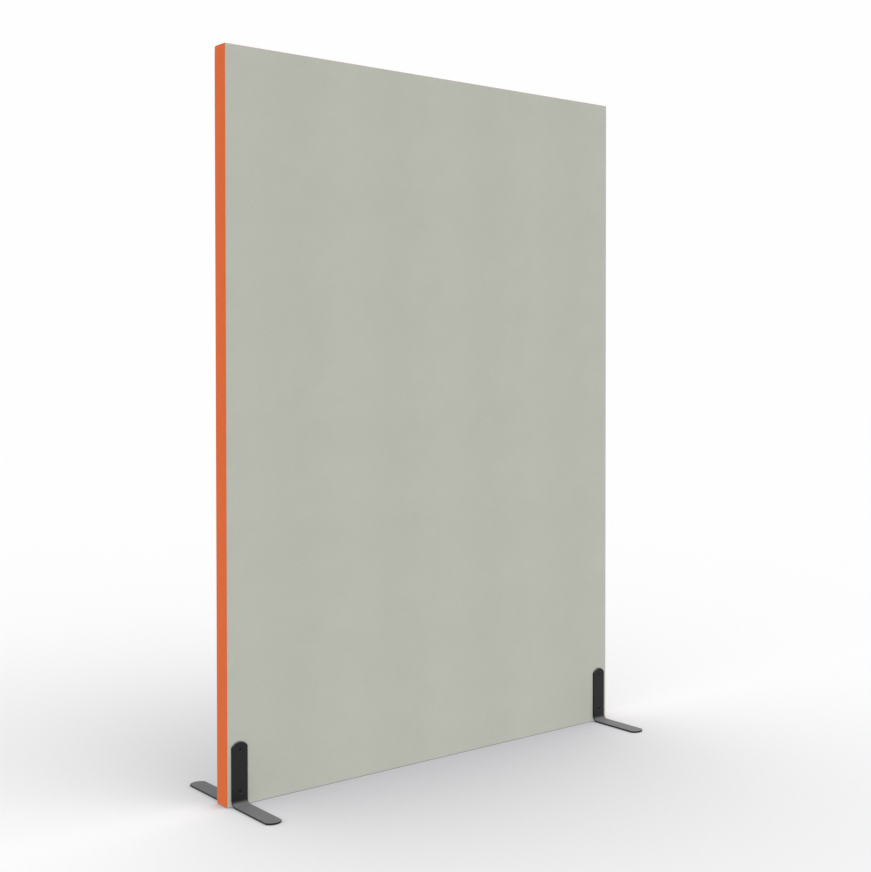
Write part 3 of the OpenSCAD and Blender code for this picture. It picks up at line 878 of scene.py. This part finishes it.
def glide_pad(name, node):
    """Thin rounded pad glued under a foot."""
    bm = box_of(*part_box(node))
    round_off(bm, [edge for edge in bm.edges if edge.verts[0].co.xy == edge.verts[1].co.xy], 5 * MM, 8)
    round_off(bm, [edge for edge in bm.edges if edge.calc_face_angle(0.0) > 1.0], 0.2 * MM, 2)
    return to_mesh(name, bm, 50.0)


# Studio

WHITE = (0.992, 0.992, 0.992, 1.0)
FLOOR_WHITE = (0.992, 0.992, 1.0, 1.0)
# Name, azimuth, elevation and spread in degrees, and share of the floor's light
LAMPS = (
    ("front_lamp", 290, 55, 22, 0.25),
    ("overhead_lamp", 37, 77, 22, 0.25),
    ("right_lamp", 333, 25, 30, 0.07),
    ("left_lamp", 195, 25, 30, 0.07),
)


def set_camera(studio):
    """Camera at the viewing angle of the picture."""
    scene = bpy.context.scene
    camera = add_object("camera", bpy.data.cameras.new("camera"))
    camera.data.lens = studio.lens
    camera.data.shift_y = studio.drop
    camera.data.clip_end = 500.0
    camera.location = studio.eye
    aim = Matrix.Rotation(-studio.turn, 3, "Z") @ Matrix.Rotation(pi / 2 - studio.dip, 3, "X")
    camera.rotation_euler = (aim @ Matrix.Rotation(-studio.roll, 3, "Z")).to_euler()
    scene.camera = camera
    scene.view_settings.view_transform = "Standard"


def surround(strength):
    """White surroundings, which light the object evenly."""
    world = bpy.data.worlds.new("surroundings")
    bpy.context.scene.world = world
    world.use_nodes = True
    nodes = Nodes(world.node_tree)
    seen = nodes.node("ShaderNodeLightPath", output="Is Camera Ray")
    mirrored = nodes.node("ShaderNodeLightPath", output="Is Glossy Ray")
    backdrop = nodes.node("ShaderNodeBackground", values={"Color": WHITE, "Strength": 1.0})
    light = nodes.node("ShaderNodeBackground", values={"Color": (1, 1, 1, 1), "Strength": strength})
    shown = seen.sum("MAXIMUM", seen, mirrored)
    mixed = nodes.node("ShaderNodeMixShader", values={0: shown, 1: light, 2: backdrop})
    nodes.feed("World Output", "Surface", mixed)


def hang_lamp(name, azimuth, elevation, spread, share):
    """Soft distant lamp that gives a share of the floor's light."""
    lamp = add_object(name, bpy.data.lights.new(name, "SUN"))
    lamp.data.angle = radians(2 * spread)
    lamp.data.energy = pi * share / sin(radians(elevation))
    turn = Matrix.Rotation(radians(azimuth + 90), 3, "Z")
    lamp.rotation_euler = (turn @ Matrix.Rotation(radians(90 - elevation), 3, "X")).to_euler()


def lay_floor(studio):
    """Pale floor with the object's shadow, partly cast by the lamps and partly painted shade from ambient
    occlusion, which gives even light back to the object.
    """
    bm = bmesh.new()
    bmesh.ops.create_grid(bm, x_segments=1, y_segments=1, size=studio.floor)
    floor = add_object("floor", to_mesh("floor", bm))
    finish = Finish("floor")
    # Painted shade: what the camera sees of the floor darkens where ambient occlusion finds the object
    # near. The lit half also takes the lamps' real shadows.
    open_sky = finish.node("ShaderNodeAmbientOcclusion", {"samples": 16}, {"Distance": 7.0}, "AO")
    lean = {"Distance": 8.0, "Normal": (0.84, -0.392, 0.375)}
    open_side = finish.node("ShaderNodeAmbientOcclusion", {"samples": 16}, lean, "AO")
    shade = finish.between(open_sky, tint(studio.shade_colour, 1.0), FLOOR_WHITE)
    lit = finish.node("ShaderNodeBsdfDiffuse", values={"Color": shade})
    deep = finish.between(open_sky, tint(studio.shade_colour, 1.5), FLOOR_WHITE)
    # Painted shadow to one side: occlusion leaning to the right and front darkens the floor further.
    soft = finish.between(open_side, (0.7, 0.7, 0.7, 1), (1, 1, 1, 1))
    pale = finish.node("ShaderNodeEmission", values={"Color": finish.between(1.0, deep, soft, "MULTIPLY")})
    shown = finish.node("ShaderNodeMixShader", values={0: 0.5, 1: lit, 2: pale})
    plain = finish.node("ShaderNodeBsdfDiffuse", values={"Color": (0.9, 0.9, 0.9, 1)})
    glow = finish.node("ShaderNodeEmission", values={"Color": (1, 1, 1, 1), "Strength": studio.bounce})
    given = finish.node("ShaderNodeMixShader", values={0: 0.9, 1: plain, 2: glow})
    seen = finish.node("ShaderNodeLightPath", output="Is Camera Ray")
    whole = finish.node("ShaderNodeMixShader", values={0: seen, 1: given, 2: shown})
    finish.feed("Material Output", "Surface", whole)
    finish.tree.nodes.remove(finish.tree.nodes["Principled BSDF"])
    finish.material.cycles.emission_sampling = "NONE"
    floor.data.materials.append(finish.material)


# Operators


class DIVIDER_OT_stage(bpy.types.Operator):
    """Sets the camera, the white surroundings, the lamps and the floor"""

    bl_idname = "divider.stage"
    bl_label = "Stage"

    def execute(self, context):
        studio = context.scene.divider_studio
        set_camera(studio)
        surround(studio.sky)
        for lamp in LAMPS:
            hang_lamp(*lamp)
        lay_floor(studio)
        return {"FINISHED"}


class DIVIDER_OT_frame(bpy.types.Operator):
    """Finishes the timber frame, its dowels and the staples"""

    bl_idname = "divider.frame"
    bl_label = "Frame"

    def execute(self, context):
        colours = context.scene.divider_frame
        upright = planed_timber("upright_timber", colours.timber_colour, True)
        level = planed_timber("level_timber", colours.timber_colour, False)
        dowel = planed_timber("dowel_timber", colours.dowel_colour, False)
        for side in ("left", "right"):
            refinish(f"frame_{side}_stile", upright)
        for part in ("top", "mid", "bottom"):
            refinish(f"frame_{part}_rail", level)
            refinish(f"{part}_rail_dowels", dowel)
        refinish("bottom_staples", bare_metal("zinc_wire", colours.staple_colour, 0.35))
        return {"FINISHED"}


class DIVIDER_OT_absorber(bpy.types.Operator):
    """Fills the timber frame with two slabs of sound absorber"""

    bl_idname = "divider.absorber"
    bl_label = "Absorber"

    def execute(self, context):
        shade = context.scene.divider_upholstery.absorber_colour
        wool = felted_fibre("absorber_wool", shade, 0.6, 420.0, 0.8 * MM)
        for part in ("upper", "lower"):
            mesh = rounded_slab(f"absorber_{part}", *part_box(f"core_{part}"), 3 * MM, 20, 0.4 * MM)
            finished_piece(mesh, wool, f"core_{part}")
        return {"FINISHED"}


class DIVIDER_OT_wadding(bpy.types.Operator):
    """Lays the wadding under the covers and round the edge"""

    bl_idname = "divider.wadding"
    bl_label = "Wadding"

    def execute(self, context):
        shade = context.scene.divider_upholstery.wadding_colour
        fibre = felted_fibre("wadding", shade, 0.8, 700.0, 0.4 * MM)
        for face in ("front", "rear"):
            mesh = rounded_slab(f"{face}_wadding", *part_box(f"{face}_padding"), 1 * MM, 30, 0.3 * MM)
            finished_piece(mesh, fibre, f"{face}_padding")
        strip = finished_piece(edge_strip("edge_wadding"), fibre, "edge_padding")
        return {"FINISHED"}


class DIVIDER_OT_covers(bpy.types.Operator):
    """Lays the grey covers over both padded faces, dented round the legs"""

    bl_idname = "divider.covers"
    bl_label = "Covers"

    def execute(self, context):
        sizes, feet = context.scene.divider_upholstery, context.scene.divider_feet
        cloth = woven_cloth("grey_cloth", sizes.face_colour, sizes.thread)
        for name, face in (("front", -1), ("rear", 1)):
            place = cover_place(face, sizes, feet)
            mesh = lay_cloth(f"{name}_cloth", *cover_lines(), place, sizes.cloth)
            piece = finished_piece(mesh, cloth, f"{name}_cover")
        return {"FINISHED"}


class DIVIDER_OT_bands(bpy.types.Operator):
    """Lays the orange edge band along both ends and the top"""

    bl_idname = "divider.bands"
    bl_label = "Edge band"

    def execute(self, context):
        sizes = context.scene.divider_upholstery
        cloth = woven_cloth("orange_cloth", sizes.band_colour, sizes.thread)
        low, high = panel_bottom + sizes.edge_radius, panel_top - sizes.edge_radius
        side = panel_side - sizes.edge_radius
        upright, level = Vector((0, 0, 1)), Vector((1, 0, 0))
        strips = (
            ("left", "flap", low, high, upright, -level, 46),
            ("right", "flap", low, high, upright, level, 46),
            ("top", "mitre", -side, side, level, upright, 34),
        )
        for name, first_end, start, end, along, outward, stops in strips:
            lines = band_lines(first_end, spaced(start, end, stops))
            place = band_place(start, end, along, outward, sizes)
            mesh = lay_cloth(f"{name}_band", *lines, place, sizes.cloth)
            piece = finished_piece(mesh, cloth, f"edge_band_{name}")
        return {"FINISHED"}


class DIVIDER_OT_closing_strip(bpy.types.Operator):
    """Closes the underside with a strip of non-woven cloth over the staples"""

    bl_idname = "divider.closing_strip"
    bl_label = "Closing strip"

    def execute(self, context):
        shade = context.scene.divider_upholstery.closing_colour
        cloth = felted_fibre("closing_cloth", shade, 0.55, 900.0, 0.15 * MM)
        low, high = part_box("bottom_closing_strip")
        mesh = underside_strip("closing_strip", low, high)
        piece = finished_piece(mesh, cloth, "bottom_closing_strip")
        return {"FINISHED"}


class DIVIDER_OT_feet(bpy.types.Operator):
    """Bends the four flat-bar feet"""

    bl_idname = "divider.feet"
    bl_label = "Feet"

    def execute(self, context):
        feet = context.scene.divider_feet
        # The coat is painted lighter on what faces up, as painted top light.
        coat = powder_coat("black_coat", feet.coat_colour, feet.top_light_colour)
        for corner, side, face in CORNERS:
            mesh = foot_bar(f"bar_{corner}", side, face, feet)
            piece = finished_piece(mesh, coat, f"foot_{corner}")
            piece.modifiers.new("even_shading", "WEIGHTED_NORMAL").keep_sharp = True
        return {"FINISHED"}


class DIVIDER_OT_screws(bpy.types.Operator):
    """Drives the socket screws and finishes their threaded inserts"""

    bl_idname = "divider.screws"
    bl_label = "Screws"

    def execute(self, context):
        feet = context.scene.divider_feet
        steel = blackened_steel("screw_steel", feet.screw_colour)
        brass = bare_metal("turned_brass", context.scene.divider_frame.insert_colour, 0.32)
        for corner, side, face in CORNERS:
            mesh = foot_screws(f"socket_screws_{corner}", side, face, feet)
            finished_piece(mesh, steel, f"screws_{corner}")
            refinish(f"inserts_{corner}", brass)
        return {"FINISHED"}


class DIVIDER_OT_glides(bpy.types.Operator):
    """Sticks the glide pads under the feet"""

    bl_idname = "divider.glides"
    bl_label = "Glide pads"

    def execute(self, context):
        rubber = moulded_rubber("pad_rubber", context.scene.divider_feet.glide_colour)
        for corner, _, _ in CORNERS:
            mesh = glide_pad(f"pad_{corner}", f"glide_{corner}")
            finished_piece(mesh, rubber, f"glide_{corner}")
        return {"FINISHED"}


class DIVIDER_PT_panel(bpy.types.Panel):
    """Lists the screen's sizes, colours and operators"""

    bl_label = "Acoustic Divider"
    bl_space_type = "VIEW_3D"
    bl_region_type = "UI"
    bl_category = "Divider"

    def draw(self, context):
        for name, _ in SETTINGS:
            settings = getattr(context.scene, name)
            box = self.layout.box()
            for size in settings.__annotations__:
                box.prop(settings, size)
        for operator in OPERATORS:
            self.layout.operator(operator.bl_idname)


SETTINGS = (
    ("divider_upholstery", DividerUpholstery),
    ("divider_frame", DividerFrame),
    ("divider_feet", DividerFeet),
    ("divider_studio", DividerStudio),
)
OPERATORS = (
    DIVIDER_OT_stage,
    DIVIDER_OT_frame,
    DIVIDER_OT_absorber,
    DIVIDER_OT_wadding,
    DIVIDER_OT_covers,
    DIVIDER_OT_bands,
    DIVIDER_OT_closing_strip,
    DIVIDER_OT_feet,
    DIVIDER_OT_screws,
    DIVIDER_OT_glides,
)


def register():
    for name, settings in SETTINGS:
        bpy.utils.register_class(settings)
        setattr(bpy.types.Scene, name, bpy.props.PointerProperty(type=settings))
    for part in (*OPERATORS, DIVIDER_PT_panel):
        bpy.utils.register_class(part)


def unregister():
    for part in (DIVIDER_PT_panel, *reversed(OPERATORS)):
        bpy.utils.unregister_class(part)
    for name, settings in reversed(SETTINGS):
        delattr(bpy.types.Scene, name)
        bpy.utils.unregister_class(settings)


def main():
    """Builds the whole screen."""
    register()
    for operator in OPERATORS:
        getattr(bpy.ops.divider, operator.bl_idname.removeprefix("divider."))()


if __name__ == "__main__":
    main()
